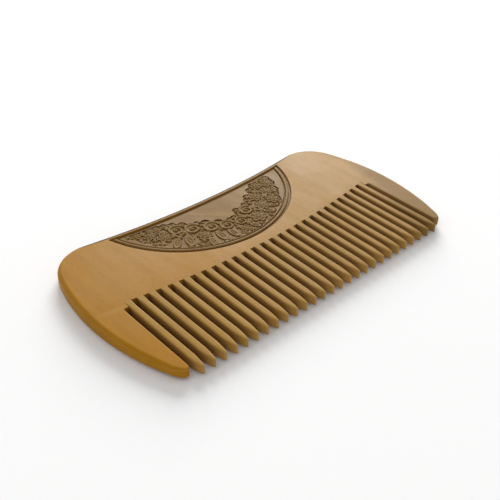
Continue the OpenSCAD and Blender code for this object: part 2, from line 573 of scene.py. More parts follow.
@dataclass
class Contour:
    """Closed outline with, at each place, the step inwards and the radius of its rim."""

    plan: Plan
    stations: list[tuple[Vector, Vector, float]] = field(default_factory=list)

    def arc(
        self,
        centre: Vector,
        radius: float,
        turn: tuple[float, float],
        rims: tuple[float, float],
        spacing: float = 0.6,
        hollow: bool = False,
    ) -> None:
        """Add places along an arc.

        Args:
            centre: Centre of the arc.
            radius: Radius of the arc.
            turn: Directions of its start and its end, in radians.
            rims: Radius of the rim at the start and at the end.
            spacing: Greatest distance between places.
            hollow: True where the wood lies outside the arc.
        """
        count = max(3, math.ceil(abs(turn[1] - turn[0]) * radius / spacing))
        for index in range(count):
            share = (index + 0.5) / count
            angle = turn[0] + share * (turn[1] - turn[0])
            outward = Vector((math.cos(angle), math.sin(angle)))
            rim = rims[0] + share * (rims[1] - rims[0])
            self.stations.append((centre + radius * outward, outward if hollow else -outward, rim))

    def point(self, x: float, y: float, slide: Sequence[float] = (0, 0), rim: float = 0.0) -> None:
        """Add one place with its own step inwards."""
        self.stations.append((Vector((x, y)), Vector(slide), rim))

    def ring(self, z: float) -> Ring:
        """Return the outline at a height, drawn in by its rims.

        Args:
            z: Height above the lower face, in millimetres.

        Returns:
            The places round the outline at that height.
        """
        depth = min(z, self.plan.thickness - z)
        placed = [at + slide * rim_inset(depth, rim) for at, slide, rim in self.stations]
        return [(at.x, at.y, z) for at in placed]

    def mirrored(self) -> "Contour":
        """Return the outline on the other side of the comb.

        Returns:
            A new outline with its stations in reverse order.
        """
        flip = Vector((-1, 1))
        turned = [(at * flip, slide * flip, rim) for at, slide, rim in reversed(self.stations)]
        return Contour(self.plan, turned)


def levels(thickness: float) -> list[float]:
    """Return the heights at which the rounded rims are drawn, from the lower face up."""
    depths = [0.0, 0.02, 0.07, 0.15, 0.27, 0.42, 0.65, 0.95, 1.3]
    return depths + [thickness - depth for depth in reversed(depths)]


# ---------------------------------------------------------------- finishes


class Graph:
    """Thin wrapper that adds shader nodes and links them."""

    def __init__(self, name: str) -> None:
        """Start a material with a bare Principled shader.

        Args:
            name: The name for the material.
        """
        self.material = bpy.data.materials.new(name)
        self.material.use_nodes = True
        self.tree = self.material.node_tree
        self.tree.nodes.clear()
        self.shader = self.tree.nodes.new("ShaderNodeBsdfPrincipled")
        output = self.tree.nodes.new("ShaderNodeOutputMaterial")
        self.tree.links.new(self.shader.outputs["BSDF"], output.inputs["Surface"])

    def add(self, kind: str, inputs: dict | None = None, **settings: object) -> bpy.types.Node:
        """Add a node, set its properties and fill its inputs.

        Args:
            kind: Node type without the ShaderNode prefix.
            inputs: Input values or sockets to link, by name or place.
            **settings: Properties of the node.

        Returns:
            The node.
        """
        node = self.tree.nodes.new("ShaderNode" + kind)
        for key, value in settings.items():
            setattr(node, key, value)
        for key, value in (inputs or {}).items():
            if isinstance(value, bpy.types.NodeSocket):
                self.tree.links.new(value, node.inputs[key])
            else:
                node.inputs[key].default_value = value
        return node

    def noise(
        self, place: bpy.types.NodeSocket, stretch: Sequence[float], detail: float = 3.0
    ) -> bpy.types.NodeSocket:
        """Return a noise value stretched along the axes, in millimetres per swell.

        Args:
            place: The object coordinates to read.
            stretch: Length of a swell along x, y and z.
            detail: How many finer layers are added.

        Returns:
            The noise value.
        """
        spread = self.add(
            "VectorMath",
            {0: place, 1: tuple(1 / (MM * length) for length in stretch)},
            operation="MULTIPLY",
        )
        texture = self.add(
            "TexNoise",
            {"Vector": spread.outputs[0], "Scale": 1.0, "Detail": detail, "Roughness": 0.55},
        )
        return texture.outputs[0]

    def remap(
        self, value: bpy.types.NodeSocket, source: Sequence[float], target: Sequence[float]
    ) -> bpy.types.NodeSocket:
        """Return a value carried from one range to another and clamped there.

        Args:
            value: The value to carry.
            source: The range it comes from.
            target: The range it goes to.

        Returns:
            The carried value.
        """
        node = self.add(
            "MapRange",
            {0: value, 1: source[0], 2: source[1], 3: target[0], 4: target[1]},
            clamp=True,
        )
        return node.outputs[0]

    def math(self, operation: str, first: object, second: object) -> bpy.types.NodeSocket:
        """Return the result of one arithmetic step."""
        return self.add("Math", {0: first, 1: second}, operation=operation).outputs[0]

    def mix(
        self, share: object, first: object, second: object, blend: str = "MIX"
    ) -> bpy.types.NodeSocket:
        """Return a blend of two colours.

        Args:
            share: Share of the second colour.
            first: The colour underneath.
            second: The colour on top.
            blend: How the second is laid on the first.

        Returns:
            The blended colour.
        """
        node = self.add("Mix", data_type="RGBA", blend_type=blend)
        for key, value in ((0, share), (6, first), (7, second)):
            if isinstance(value, bpy.types.NodeSocket):
                self.tree.links.new(value, node.inputs[key])
            else:
                node.inputs[key].default_value = value
        return node.outputs[2]


def colour(red: int, green: int, blue: int) -> tuple[float, float, float, float]:
    """Return a linear colour from screen values between 0 and 255.

    Args:
        red: Red on the screen.
        green: Green on the screen.
        blue: Blue on the screen.

    Returns:
        The linear colour with full opacity.
    """
    parts = [value / 255 for value in (red, green, blue)]
    linear = [p / 12.92 if p <= 0.04045 else ((p + 0.055) / 1.055) ** 2.4 for p in parts]
    return (*linear, 1.0)


@dataclass(frozen=True)
class WoodFinish:
    """Oiled, close-grained boxwood with the grain along Y.

    Lengths are in millimetres. The painted shade is a darker tone painted over the right end of
    the comb, where shade falls, and the back-edge dark is a dark rim along the hollow back edge.
    Patina with painted shade darkens hollows and the walls between teeth, and wear with a painted
    highlight lightens the crests. The ground's warm-to-pale run along X is tone drift with a
    painted sheen towards the right.
    """

    name: str
    warm: tuple[float, float, float, float] = colour(178, 123, 12)
    pale: tuple[float, float, float, float] = colour(186, 147, 88)
    dark: tuple[float, float, float, float] = colour(84, 54, 28)
    worn_and_highlight: tuple[float, float, float, float] = colour(200, 160, 96)
    streak: float = 0.05
    roughness: float = 0.55
    gloss: float = 0.09
    patina_and_shade: float = 0.35
    patina_and_shade_reach: float = 1.6
    wear_and_highlight: float = 0.3
    relief: float = 0.16
    root_y: float = -2.7
    root_radius: float = 265.9
    seam_reach: tuple[float, float] = (0.7, 1.6)
    painted_shade: float = 0.4
    painted_shade_reach: tuple[float, float] = (59.0, 66.0)
    painted_shade_slope: tuple[float, float] = (1.3, -0.5)
    painted_shade_tone: tuple[float, float, float, float] = colour(78, 56, 4)
    back_edge_dark: float = 0.0
    back_edge_dark_tone: tuple[float, float, float, float] = colour(42, 26, 14)
    back_edge_dark_centre: float = 0.0
    back_edge_dark_radius: float = 0.0
    back_edge_dark_edge: tuple[float, float] = (0.7, 0.9)
    back_edge_dark_span: tuple[float, float] = (34.0, 44.0)

    def material(self) -> bpy.types.Material:
        """Build the node material.

        Returns:
            The material, patterned in object coordinates.
        """
        graph = Graph(self.name)
        place = graph.add("TexCoord").outputs["Object"]
        axes = graph.add("SeparateXYZ", {0: place}).outputs
        across, along = axes[0], axes[1]
        # Tone drift plus painted sheen: the ground runs from warm at the left end to pale towards
        # the right, where gloss lightens it.
        drift = graph.noise(place, (38, 46, 30), 2.0)
        drift_and_sheen = graph.math("ADD", graph.remap(across, (-0.052, 0.03), (0, 1)), drift)
        ground = graph.mix(graph.remap(drift_and_sheen, (0.4, 1.3), (0, 1)), self.warm, self.pale)

        figure = graph.noise(place, (2.6, 34, 5), 3.0)
        fibre = graph.noise(place, (0.22, 5.5, 0.3), 2.0)
        shade = graph.math(
            "ADD",
            graph.remap(figure, (0.35, 0.65), (-self.streak, self.streak)),
            graph.remap(fibre, (0.35, 0.65), (-self.streak * 0.5, self.streak * 0.5)),
        )
        tinted = graph.mix(
            graph.remap(shade, (-0.25, 0.25), (0.42, 0.0)), ground, self.dark, "MIX"
        )
        pores = graph.noise(place, (0.16, 1.7, 0.2), 1.0)
        flecked = graph.mix(graph.remap(pores, (0.66, 0.78), (0, 0.4)), tinted, self.dark)

        # Wear and painted highlight: convex edges and crests are lightened where rounded edges
        # catch the light, except near the root seam.
        edge = graph.add("NewGeometry").outputs["Pointiness"]
        wear_highlight_noise = graph.noise(place, (3.5, 6, 3.5), 4.0)
        bow = graph.math("MULTIPLY", graph.math("MULTIPLY", across, across), 500 / self.root_radius)
        rise = graph.math("SUBTRACT", graph.math("SUBTRACT", along, self.root_y * MM), bow)
        clear = [reach * MM for reach in self.seam_reach]
        open_wood = graph.remap(graph.math("ABSOLUTE", rise, 0.0), clear, (0, 1))
        wear_highlight_spread = graph.math("MULTIPLY", wear_highlight_noise, open_wood)
        crest_wear_highlight = graph.math("MULTIPLY", graph.remap(edge, (0.502, 0.56), (0, 1)), wear_highlight_spread)
        with_wear_highlight = graph.mix(graph.remap(crest_wear_highlight, (0.08, 0.6), (0, self.wear_and_highlight)), flecked, self.worn_and_highlight)

        # Painted shade: a darker tone laid over the right end of the comb, where shade falls on the
        # guard.
        outward = graph.math("MULTIPLY", across, self.painted_shade_slope[0])
        lower = graph.math("MULTIPLY", along, self.painted_shade_slope[1])
        painted_shade_ramp = graph.math("ADD", outward, lower)
        reach = [place * MM for place in self.painted_shade_reach]
        with_painted_shade = graph.mix(graph.remap(painted_shade_ramp, reach, (0, self.painted_shade)), with_wear_highlight, self.painted_shade_tone)
        # A dark band along the hollow back edge, fading out between 34 and 44 mm from the middle.
        if self.back_edge_dark:
            centre = (0, self.back_edge_dark_centre * MM, 0)
            level = graph.add("VectorMath", {0: place, 1: (1, 1, 0)}, operation="MULTIPLY")
            away = graph.add("VectorMath", {0: level.outputs[0], 1: centre}, operation="DISTANCE")
            rim = [(self.back_edge_dark_radius + step) * MM for step in self.back_edge_dark_edge]
            near = graph.remap(away.outputs["Value"], rim, (self.back_edge_dark, 0))
            span = [place * MM for place in self.back_edge_dark_span]
            spread = graph.remap(graph.math("ABSOLUTE", across, 0.0), span, (1, 0))
            with_painted_shade = graph.mix(graph.math("MULTIPLY", near, spread), with_painted_shade, self.back_edge_dark_tone)

        # Patina and painted shade: ambient occlusion darkens hollows, the sunken ground round the
        # carving and the walls between teeth, where shade falls.
        shelter = graph.add(
            "AmbientOcclusion", {"Distance": self.patina_and_shade_reach * MM}, samples=6
        ).outputs["AO"]
        settled_patina_and_shade = graph.remap(shelter, (0.25, 0.95), (self.patina_and_shade, 0))
        coloured = graph.mix(settled_patina_and_shade, with_painted_shade, self.dark)
        graph.tree.links.new(coloured, graph.shader.inputs["Base Color"])

        polish = graph.noise(place, (9, 16, 9), 4.0)
        gloss = graph.math(
            "ADD",
            graph.remap(polish, (0.3, 0.7), (self.roughness - 0.06, self.roughness + 0.08)),
            graph.remap(pores, (0.6, 0.8), (0, 0.18)),
        )
        graph.tree.links.new(gloss, graph.shader.inputs["Roughness"])

        height = graph.math("ADD", graph.math("MULTIPLY", fibre, 0.5), figure)
        pitted = graph.math("SUBTRACT", height, graph.remap(pores, (0.62, 0.8), (0, 0.8)))
        bump = graph.add(
            "Bump", {"Strength": self.relief, "Distance": 0.00006, "Height": pitted}
        )
        graph.tree.links.new(bump.outputs[0], graph.shader.inputs["Normal"])
        graph.shader.inputs["Specular IOR Level"].default_value = self.gloss
        return graph.material


PLATE_WOOD = WoodFinish("oiled_boxwood_back")
TOOTH_WOOD = WoodFinish(
    "oiled_boxwood_teeth",
    warm=colour(176, 136, 56),
    pale=colour(176, 138, 72),
    dark=colour(92, 56, 40),
    patina_and_shade=0.75,
    patina_and_shade_reach=2.2,
    wear_and_highlight=0.55,
)
GUARD_WOOD = WoodFinish("oiled_boxwood_guards")
PANEL_WOOD = WoodFinish(
    "carved_boxwood_field",
    warm=colour(136, 103, 54),
    pale=colour(145, 112, 62),
    dark=colour(72, 48, 26),
    streak=0.02,
    patina_and_shade=0.75,
    patina_and_shade_reach=0.9,
    wear_and_highlight=0.2,
    painted_shade=0.0,
)
RELIEF_WOOD = WoodFinish(
    "carved_boxwood_relief",
    warm=colour(134, 103, 48),
    pale=colour(142, 110, 58),
    dark=colour(58, 38, 18),
    worn_and_highlight=colour(168, 134, 76),
    streak=0.02,
    patina_and_shade=0.8,
    patina_and_shade_reach=0.7,
    wear_and_highlight=0.4,
    painted_shade=0.0,
)


def dress(piece: bpy.types.Object, finish: bpy.types.Material, slot: Slot, *nodes: str) -> None:
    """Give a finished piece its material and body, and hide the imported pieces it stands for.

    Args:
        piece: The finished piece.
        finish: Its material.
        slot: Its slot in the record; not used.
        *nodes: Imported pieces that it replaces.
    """
    piece.data.materials.clear()
    piece.data.materials.append(finish)
    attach(piece, "root")
    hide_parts(*nodes)
    LOG.info("%s: %d faces", piece.name, len(piece.data.polygons))


# ---------------------------------------------------------------- the comb's pieces


@dataclass
class Panel:
    """D-shaped recess in the back plate, bounded by one arc below and the hollow above."""

    plan: Plan
    half_width: float = 33.0
    margin: float = 0.4
    land: float = 1.25
    depth: float = 0.8
    lower_count: int = 150
    upper_count: int = 84

    @property
    def low(self) -> float:
        """Lowest place of the recess."""
        return self.plan.root_y + self.plan.tenon_length + self.margin

    @property
    def radius(self) -> float:
        """Radius of the lower arc.

        Returns:
            The radius in millimetres.
        """
        reach = math.sqrt(self.plan.hollow_radius**2 - self.half_width**2)
        drop = self.plan.hollow_y - reach - self.low
        return (self.half_width**2 + drop**2) / (2 * drop)

    @property
    def centre_y(self) -> float:
        """Height of the centre of the lower arc."""
        return self.low + self.radius

    @property
    def floor(self) -> float:
        """Height of the floor of the recess."""
        return self.plan.thickness - self.depth

    def ring(
        self, inset: float, z: float, above: float | None = None, z_above: float | None = None
    ) -> Ring:
        """Return the outline drawn in by an inset.

        Args:
            inset: Distance inwards; a negative one widens the outline.
            z: Height of the ring.
            above: Distance inwards along the hollow, where it differs.
            z_above: Height along the hollow, where it differs.

        Returns:
            The ring, anticlockwise from the left tip along the lower arc.
        """
        above = inset if above is None else above
        z_above = z if z_above is None else z_above
        lower = self.radius - inset
        upper = self.plan.hollow_radius + self.land + above
        apart = self.plan.hollow_y - self.centre_y
        rise = (lower**2 - upper**2 + apart**2) / (2 * apart)
        reach = math.sqrt(lower**2 - rise**2)
        tip = math.atan2(rise, reach)
        swing = math.asin(reach / upper)
        places = []
        for index in range(self.lower_count):
            angle = -math.pi - tip + (math.pi + 2 * tip) * index / self.lower_count
            places.append((lower * math.cos(angle), self.centre_y + lower * math.sin(angle), z))
        for index in range(self.upper_count):
            angle = swing - 2 * swing * index / self.upper_count
            x, y = upper * math.sin(angle), self.plan.hollow_y - upper * math.cos(angle)
            places.append((x, y, z_above if index else z))
        return places

    def drawn_in(self, places: np.ndarray, below: float, above: float) -> np.ndarray:
        """Move places that lie outside a smaller outline back onto it.

        Args:
            places: Rows of x, y, z.
            below: Inset of the smaller outline along the lower arc.
            above: Its inset along the hollow.

        Returns:
            The moved places.
        """
        moved = np.array(places, float)
        centres = ((self.centre_y, 0, self.radius - below), (self.plan.hollow_y, 1, 0))
        outer = self.plan.hollow_radius + self.land + above
        for centre, hollow, radius in centres:
            reach = np.hypot(moved[:, 0], moved[:, 1] - centre)
            limit = outer if hollow else radius
            grow = np.maximum(limit / reach, 1) if hollow else np.minimum(limit / reach, 1)
            moved[:, 0] *= grow
            moved[:, 1] = centre + (moved[:, 1] - centre) * grow
        return moved

    def cutter(self, lip: float = 0.2) -> bpy.types.Object:
        """Return the tool that cuts the recess, flaring into a rounded lip at the top.

        Args:
            lip: Radius of the rounded lip.

        Returns:
            The cutting tool.
        """
        top = self.plan.thickness
        rings = [self.ring(0, self.floor)]
        for depth in (lip, 0.12, 0.06, 0.02, 0.0):
            rings.append(self.ring(-rim_inset(depth, lip), top - depth))
        rings.append(self.ring(-lip, top + 1))
        return Bench.loft("recess_cutter", rings)


@dataclass
class BackPlate:
    """Broad back of the comb, with rounded rims, mortises and the recess."""

    plan: Plan
    panel: Panel
    side_rim: float = 1.3
    back_rim: float = 0.5
    cuts_across: tuple[float, float, float] = (-2.5, 9.5, 0.65)
    cuts_along: tuple[float, float, float] = (-52, 52.1, 2.6)

    def contour(self) -> Contour:
        """Return the plate's outline, ends and back edge first, root line last.

        Returns:
            The closed outline.
        """
        plan = self.plan
        outline = Contour(plan)
        join = plan.side_meets_root()
        rise = math.atan2(plan.corner.y - plan.belly.y, plan.corner.x - plan.belly.x)
        crown = math.atan2(plan.hollow_y - plan.corner.y, -plan.corner.x)
        outward = Vector((math.cos(join), math.sin(join)))
        meeting = plan.belly + plan.side_radius * outward
        slide = plan.root_slide(meeting.x, -outward)
        rim, back = self.side_rim, self.back_rim
        outline.point(meeting.x, meeting.y, slide, rim)
        outline.arc(plan.belly, plan.side_radius, (join, rise), (rim, rim))
        outline.arc(plan.corner, plan.corner_radius, (rise, crown), (rim, back))
        hollow = Vector((0, plan.hollow_y))
        swing = math.atan2(plan.corner.x, plan.hollow_y - plan.corner.y)
        start, end = -math.pi / 2 + swing, -math.pi / 2 - swing
        outline.arc(hollow, plan.hollow_radius, (start, end), (back, back), 0.8, True)
        left_corner = Vector((-plan.corner.x, plan.corner.y))
        left_belly = Vector((-plan.belly.x, plan.belly.y))
        turns = (math.pi - crown, math.pi - rise, math.pi - join)
        outline.arc(left_corner, plan.corner_radius, turns[:2], (back, rim))
        outline.arc(left_belly, plan.side_radius, turns[1:], (rim, rim))
        outline.point(-meeting.x, meeting.y, (-slide.x, slide.y), rim)
        for x in self.root_places(meeting.x):
            outline.point(x, plan.root_at(x))
        return outline

    def root_places(self, reach: float) -> list[float]:
        """Return the places along the root line where teeth and guards begin and end.

        Args:
            reach: How far the root line runs to each side.

        Returns:
            The places along x, from left to right.
        """
        plan = self.plan
        places = []
        for index in range(plan.tooth_count):
            centre = plan.first_tooth + index * plan.pitch
            places += [centre - plan.tooth_width / 2, centre + plan.tooth_width / 2]
        outer = [plan.guard_inner + (reach - plan.guard_inner) * s for s in (0, 0.25, 0.5, 0.75)]
        return sorted(places + outer + [-x for x in outer])

    def mortises(self) -> bpy.types.Object:
        """Return the tool that cuts the mortises for the teeth and guards.

        Returns:
            The joined blocks.
        """
        plan = self.plan
        centres = [plan.first_tooth + i * plan.pitch for i in range(plan.tooth_count)]
        widths = [plan.tenon_width] * plan.tooth_count
        guard_width = plan.half_length - plan.guard_inner
        for side in Side:
            centres.append(side.value * (plan.guard_inner + guard_width / 2))
            widths.append(guard_width / 2)
        half = plan.tenon_thickness / 2 + plan.glue_gap
        middle = plan.thickness / 2
        blocks = []
        for x, width in zip(centres, widths):
            reach = width / 2 + plan.glue_gap
            low = plan.root_at(abs(x) + reach) - 1
            high = plan.root_at(x) + plan.tenon_length + plan.glue_gap
            corner = (x - reach, low, middle - half)
            blocks.append(Bench.block("mortise", corner, (x + reach, high, middle + half)))
        return Bench.join("mortises", blocks)

    def build(self) -> bpy.types.Object:
        """Model the plate.

        Returns:
            The finished plate.
        """
        outline = self.contour()
        rings = [outline.ring(z) for z in levels(self.plan.thickness)]
        piece = Bench.loft("back_plate_wood", rings)
        Bench.slice(piece, 1, np.arange(*self.cuts_across))
        Bench.slice(piece, 0, np.arange(*self.cuts_along))
        Bench.combine(piece, self.mortises(), "DIFFERENCE")
        Bench.combine(piece, self.panel.cutter(), "DIFFERENCE")
        Bench.weld(piece)
        Bench.place(piece, self.plan.thin(Bench.points(piece)))
        return Bench.finish(piece)


@dataclass
class Guard:
    """Broad end of the comb below the root line, with its tenon and slot fill."""

    plan: Plan
    outer_rim: float = 1.3
    inner_rim: float = 0.42
    tip_radius: float = 1.1
    tip_rim: float = 0.85
    fill_drop: float = 2.325
    fill_gap: float = 0.02

    def contour(self) -> Contour:
        """Return the right guard's outline, from its tip round the end and back.

        Returns:
            The closed outline.
        """
        plan = self.plan
        outline = Contour(plan)
        inner = plan.guard_inner
        side_join = plan.side_meets_root()
        foot_turn = math.atan2(plan.foot.y - plan.belly.y, plan.foot.x - plan.belly.x)
        tip_x = inner + self.tip_radius - plan.foot.x
        reach = plan.foot_radius - self.tip_radius
        tip = Vector((inner + self.tip_radius, plan.foot.y - math.sqrt(reach**2 - tip_x**2)))
        tip_turn = math.atan2(tip.y - plan.foot.y, tip_x)
        start = -math.pi
        outline.arc(tip, self.tip_radius, (start, tip_turn), (self.inner_rim, self.tip_rim), 0.2)
        rims = (self.tip_rim, self.outer_rim)
        outline.arc(plan.foot, plan.foot_radius, (tip_turn, foot_turn), rims, 0.4)
        rims = (self.outer_rim, self.outer_rim)
        outline.arc(plan.belly, plan.side_radius, (foot_turn, side_join), rims)
        outward = Vector((math.cos(side_join), math.sin(side_join)))
        meeting = plan.belly + plan.side_radius * outward
        slide = plan.root_slide(meeting.x, -outward)
        outline.point(meeting.x, meeting.y, slide, self.outer_rim)
        for share in (0.75, 0.5, 0.25, 0.0):
            x = inner + (meeting.x - inner) * share
            outline.point(x, plan.root_at(x))
        fill_x = inner - plan.slot_width + self.fill_gap
        fill_y = plan.root_at(inner) - self.fill_drop
        outline.point(fill_x, plan.root_at(fill_x))
        outline.point(fill_x, fill_y, (1, 1), 0.1)
        outline.point(inner, fill_y, (1, 1), 0.1)
        count = round((fill_y - tip.y) / 1.2)
        for index in range(1, count):
            y = fill_y + (tip.y - fill_y) * index / count
            outline.point(inner, y, (1, 0), self.inner_rim)
        return outline

    def build(self, side: Side) -> bpy.types.Object:
        """Model one guard.

        Args:
            side: Which end of the comb it stands at.

        Returns:
            The finished guard.
        """
        plan = self.plan
        outline = self.contour()
        if side is Side.LEFT:
            outline = outline.mirrored()
        name = f"end_guard_{side.name.lower()}_wood"
        piece = Bench.loft(name, [outline.ring(z) for z in levels(plan.thickness)])
        Bench.slice(piece, 1, np.arange(-27.5, 6.5, 1.0))
        width = plan.half_length - plan.guard_inner
        centre = side.value * (plan.guard_inner + width / 2)
        half = plan.tenon_thickness / 2
        middle = plan.thickness / 2
        low = (centre - width / 4, plan.root_at(centre) - 1, middle - half)
        high = (centre + width / 4, plan.root_at(centre) + plan.tenon_length, middle + half)
        Bench.combine(piece, Bench.block("tenon", low, high), "UNION")
        Bench.weld(piece)
        Bench.place(piece, plan.thin(Bench.points(piece)))
        return Bench.finish(piece)


@dataclass
class Teeth:
    """Row of crowned teeth, modelled once and fitted to the root line one by one."""

    plan: Plan
    crown: float = 0.52
    root_crown: float = 0.04
    fade: float = 2.2
    taper: float = 4.4
    tip_width: float = 0.8
    end_width: float = 0.24
    master_length: float = 28.0

    def half_at(self, run: float) -> float:
        """Return half the tooth's width at a distance from its tip.

        Args:
            run: Distance from the tip, in millimetres.

        Returns:
            Half the width in millimetres.
        """
        full, tip = self.plan.tooth_width / 2, self.tip_width / 2
        if run < tip:
            arc = math.sqrt(tip**2 - (tip - run) ** 2)
            return max(arc, self.end_width / 2)
        share = min((run - tip) / (self.taper - tip), 1.0)
        return tip + (full - tip) * (1.6 * share - 0.6 * share**2)

    def master(self) -> bpy.types.Object:
        """Model the tooth that the row is copied from, with its tip at the origin.

        Returns:
            A straight bar with rounded long edges, cut across where it will be shaped.
        """
        plan = self.plan
        half = plan.tooth_width / 2
        bar = Bench.block("tooth_master", (-half, 0, 0), (half, self.master_length, plan.thickness))
        Bench.select_edges(bar, lambda a, b: abs(a.y - b.y) > 1)
        bpy.ops.mesh.bevel(offset=self.crown, segments=4, affect="EDGES")
        Bench.select_faces(bar, lambda centre, normal: normal.y > 0.9)
        bpy.ops.mesh.extrude_region_move(TRANSFORM_OT_translate={"value": (0, 0, 0)})
        share = (plan.tenon_width / plan.tooth_width, 1, plan.tenon_thickness / plan.thickness)
        pivot = (0, self.master_length, plan.thickness / 2)
        bpy.ops.transform.resize(value=share, center_override=pivot)
        move = {"value": (0, plan.tenon_length, 0)}
        bpy.ops.mesh.extrude_region_move(TRANSFORM_OT_translate=move)
        bpy.ops.object.mode_set(mode="OBJECT")
        near_tip = [0.06, 0.15, 0.3, 0.5, 0.8, 1.2, 1.8, 2.5, 3.3, self.taper]
        shank = list(np.linspace(self.taper, self.master_length - self.fade, 9))[1:]
        root = [self.master_length - self.fade * share for share in (0.75, 0.5, 0.25)]
        Bench.slice(bar, 1, near_tip + shank + root)
        return bar

    def fit(self, master: bpy.types.Object, index: int) -> bpy.types.Object:
        """Copy the master into one place of the row.

        Args:
            master: The straight bar.
            index: Place in the row, from 1.

        Returns:
            The finished tooth.
        """
        plan = self.plan
        centre = plan.first_tooth + (index - 1) * plan.pitch
        piece = Bench.copy(master, f"tooth_{index:02d}_wood")
        full, middle = plan.tooth_width / 2, plan.thickness / 2
        shaped = []
        for x, y, z in Bench.points(piece):
            tenon = y - self.master_length
            if tenon <= 1e-4 and not (abs(tenon) < 1e-4 and abs(z - middle) < 1.2 and abs(x) < 0.7):
                half = self.half_at(y)
                fading = min(max((self.master_length - y) / self.fade, 0), 1)
                crown = self.root_crown + (self.crown - self.root_crown) * fading
                crown = min(crown, half * 0.9)
                droop = 0.28 * max(0.0, 1 - y / 1.3) ** 2
                x = self.across(x, full, half, crown)
                z = middle + self.across(z - middle, middle, middle - droop, crown)
            x += centre
            root = plan.root_at(x)
            stretch = (root + plan.half_width - self.taper) / (self.master_length - self.taper)
            if y <= self.taper:
                y = y - plan.half_width
            elif tenon <= 1e-4:
                y = (y - self.taper) * stretch + self.taper - plan.half_width
            else:
                y = root + tenon
            shaped.append((x, y, z))
        Bench.place(piece, plan.thin(np.array(shaped)))
        Bench.weld(piece, 0.0005)
        return Bench.finish(piece, math.radians(50))

    def across(self, offset: float, full: float, half: float, crown: float) -> float:
        """Carry a distance from the centreline to a new width and a new edge radius.

        Args:
            offset: Distance from the centreline of the bar.
            full: Half size of the bar.
            half: New half size.
            crown: New radius of the rounded edge.

        Returns:
            The new distance, on the same side.
        """
        reach = abs(offset)
        flat = full - self.crown
        if reach <= flat:
            moved = reach * (half - crown) / flat
        else:
            moved = half - crown + (reach - flat) * crown / self.crown
        return math.copysign(moved, offset)

    def build(self) -> list[bpy.types.Object]:
        """Model the whole row.

        Returns:
            The teeth from left to right.
        """
        master = self.master()
        row = [self.fit(master, index) for index in range(1, self.plan.tooth_count + 1)]
        Bench.discard(master)
        return row


@dataclass(frozen=True)
class Carving:
    """One carved element of the garland, in millimetres."""

    motif: Motif
    x: float
    y: float
    radius: float
    turn: float = 0.0


GARLAND = (
    Carving(Motif.SCROLL, -15.2, 18.0, 2.4, 100),
    Carving(Motif.SCROLL, -11.2, 15.6, 2.5, 85),
    Carving(Motif.SCROLL, -6.4, 12.9, 2.6, 70),
    Carving(Motif.SCROLL, -2.4, 10.6, 2.4, 75),
    Carving(Motif.SCROLL, 2.2, 9.6, 2.1, 90),
    Carving(Motif.SCROLL, 7.2, 13.0, 2.3, 110),
    Carving(Motif.BLOSSOM, 7.7, 8.2, 2.8, 25),
    Carving(Motif.BLOSSOM, 12.6, 12.1, 2.6, 40),
    Carving(Motif.BLOSSOM, 14.2, 16.6, 2.3, 70),
    Carving(Motif.BLOSSOM, 17.6, 12.6, 2.4, 5),
    Carving(Motif.BLOSSOM, 19.0, 17.0, 2.3, 30),
    Carving(Motif.BLOSSOM, 22.5, 20.3, 2.4, 50),
    Carving(Motif.BLOSSOM, 18.6, 21.4, 2.1, 20),
    Carving(Motif.BLOSSOM, 22.6, 23.8, 1.7, 35),
    Carving(Motif.BLOSSOM, -10.6, 10.9, 2.4, 20),
    Carving(Motif.BLOSSOM, -19.9, 17.2, 2.4, 35),
    Carving(Motif.BLOSSOM, -19.6, 21.5, 2.0, 12),
    Carving(Motif.BLOSSOM, -22.8, 20.4, 2.1, 50),
    Carving(Motif.BLOSSOM, -25.8, 22.9, 1.8, 44),
    Carving(Motif.LEAF, -19.0, 12.8, 2.6, 225),
    Carving(Motif.LEAF, -15.6, 11.5, 2.9, 250),
    Carving(Motif.LEAF, -14.0, 13.2, 1.9, 270),
    Carving(Motif.LEAF, -10.8, 7.0, 2.4, 250),
    Carving(Motif.LEAF, -7.0, 7.8, 2.8, 265),
    Carving(Motif.LEAF, -3.6, 6.6, 2.4, 275),
    Carving(Motif.BLOSSOM, 0.6, 5.6, 2.0, 0),
    Carving(Motif.LEAF, 3.9, 5.5, 1.9, 300),
    Carving(Motif.LEAF, 12.2, 8.4, 2.0, 320),
    Carving(Motif.LEAF, 15.4, 9.8, 1.7, 335),
)

UPPER_BOUND = (
    (-29.3, 25.0), (-21.1, 25.4), (-18.8, 23.2), (-14.3, 20.7), (-10.8, 18.3), (-6.6, 16.1),
    (-2.1, 12.9), (2.0, 12.4), (5.0, 14.8), (8.9, 15.7), (11.7, 18.5), (15.8, 20.9),
    (17.2, 23.6), (25.1, 24.4),
)
LOWER_BOUND = (
    (-29.3, 24.6), (-26.9, 21.6), (-25.3, 18.3), (-21.0, 11.4), (-16.8, 7.8), (-11.8, 5.3),
    (-6.7, 3.4), (1.3, 3.1), (5.6, 3.5), (10.1, 5.1), (15.2, 8.6), (18.8, 9.6),
    (20.8, 13.6), (22.6, 17.0), (25.1, 21.0),
)


